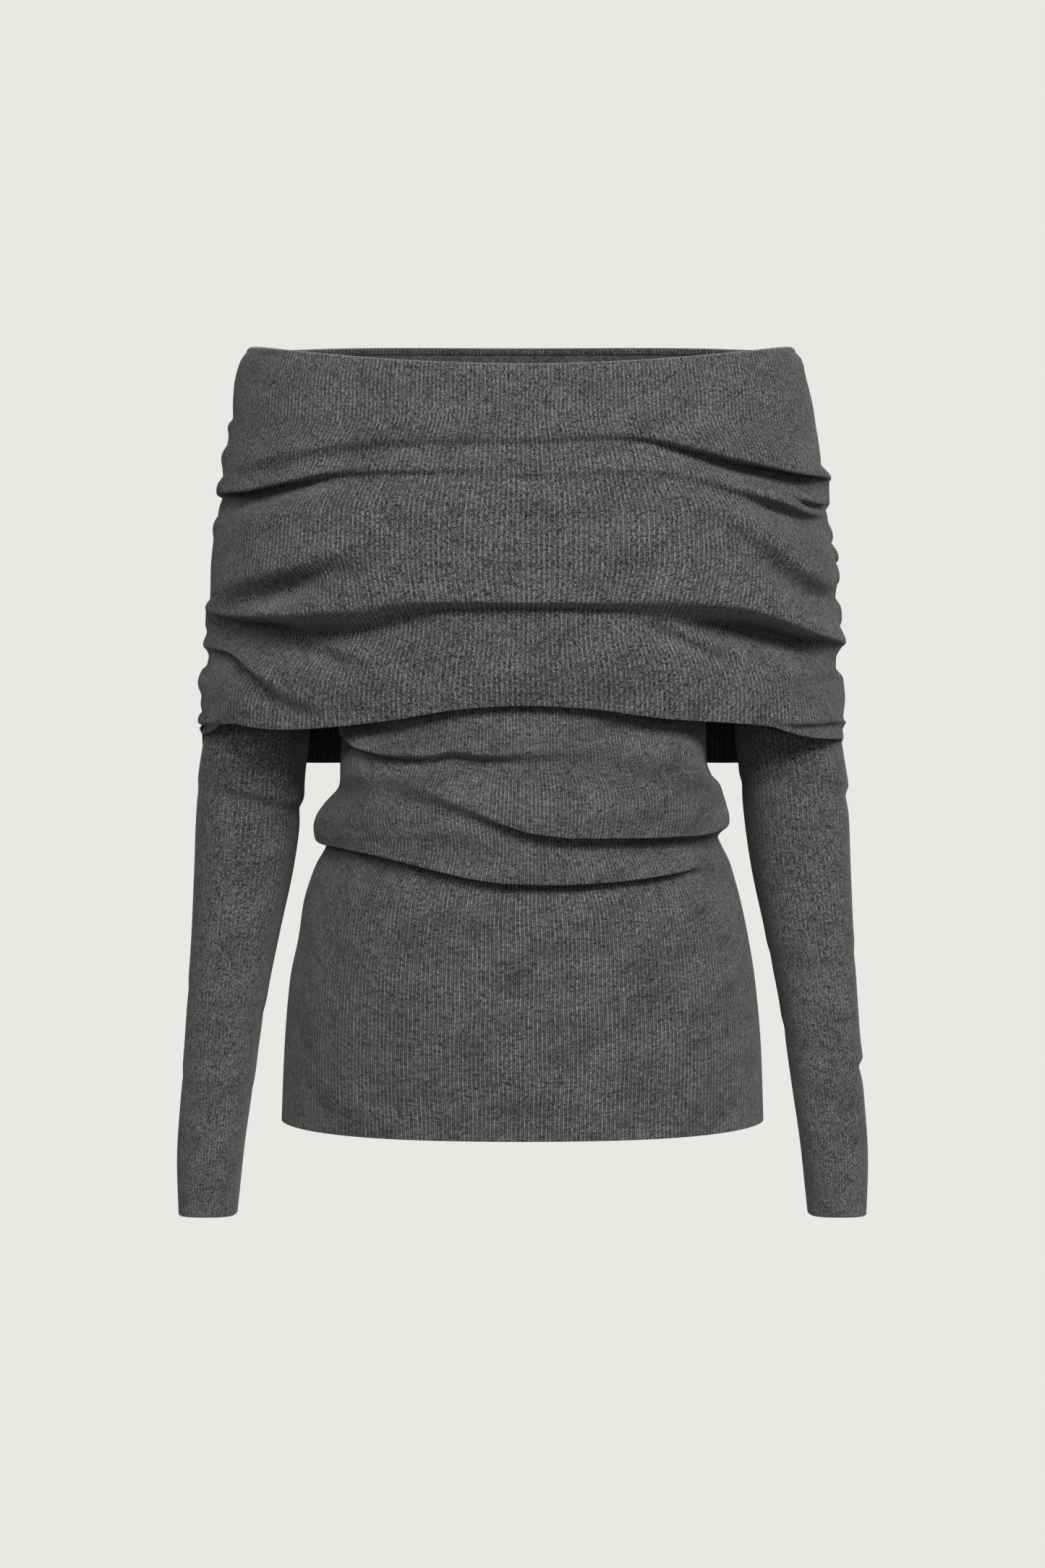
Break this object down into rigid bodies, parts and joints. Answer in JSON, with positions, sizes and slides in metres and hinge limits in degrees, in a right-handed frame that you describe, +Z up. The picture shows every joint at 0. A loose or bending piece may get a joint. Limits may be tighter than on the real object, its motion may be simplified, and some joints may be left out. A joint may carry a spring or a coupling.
{
  "type": "off-shoulder knitted top",
  "caption": "Fitted rib-knit top with a deep fold-over off-shoulder collar gathered over the upper arms, long sleeves and blouson folds at the waist.",
  "frame": {"origin": "middle of the neckline, level with the shoulder tips, on the side seams' line", "axes": "+Z up the wearer, +X towards the viewer's right, the front faces -Y"},
  "size_m": [0.479, 0.243, 0.6086],
  "materials": {
    "rib_knit": "matt marl rib knit"
  },
  "bodies": {
    "root": {"body_front": "rib_knit", "body_back": "rib_knit", "collar_front": "rib_knit", "collar_back": "rib_knit", "sleeve_right": "rib_knit", "sleeve_left": "rib_knit"}
  },
  "joints": []
}
